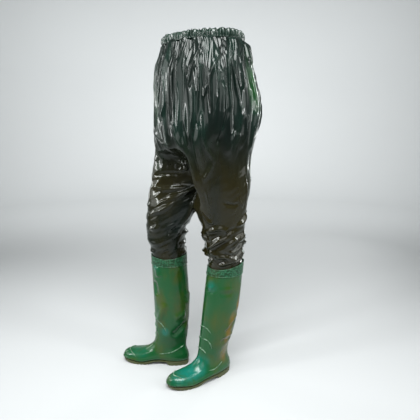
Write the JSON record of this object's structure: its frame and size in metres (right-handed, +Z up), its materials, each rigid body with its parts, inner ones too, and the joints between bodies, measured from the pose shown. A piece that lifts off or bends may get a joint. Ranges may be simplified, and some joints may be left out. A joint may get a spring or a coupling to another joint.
{
  "type": "waist-high waders",
  "caption": "Waist-high waders: glossy film trousers with a gathered elastic waist, joined to knee-high rubber boots with thin barred soles.",
  "frame": {"origin": "on the floor, under the middle of the box of the whole", "axes": "+Z up; -Y is the way the wearer faces; +X is the wearer's left"},
  "size_m": [0.3951, 0.4874, 1.2165],
  "materials": {
    "film": "glossy, creased",
    "boot_rubber": "soft gloss",
    "sole_rubber": "dull",
    "insole_foam": "dull"
  },
  "bodies": {
    "root": {"trousers": "film", "waist_casing": "film", "boot_upper_left": "boot_rubber", "boot_upper_right": "boot_rubber", "outsole_left": "sole_rubber", "outsole_right": "sole_rubber", "insole_left": "insole_foam", "insole_right": "insole_foam"}
  },
  "joints": []
}
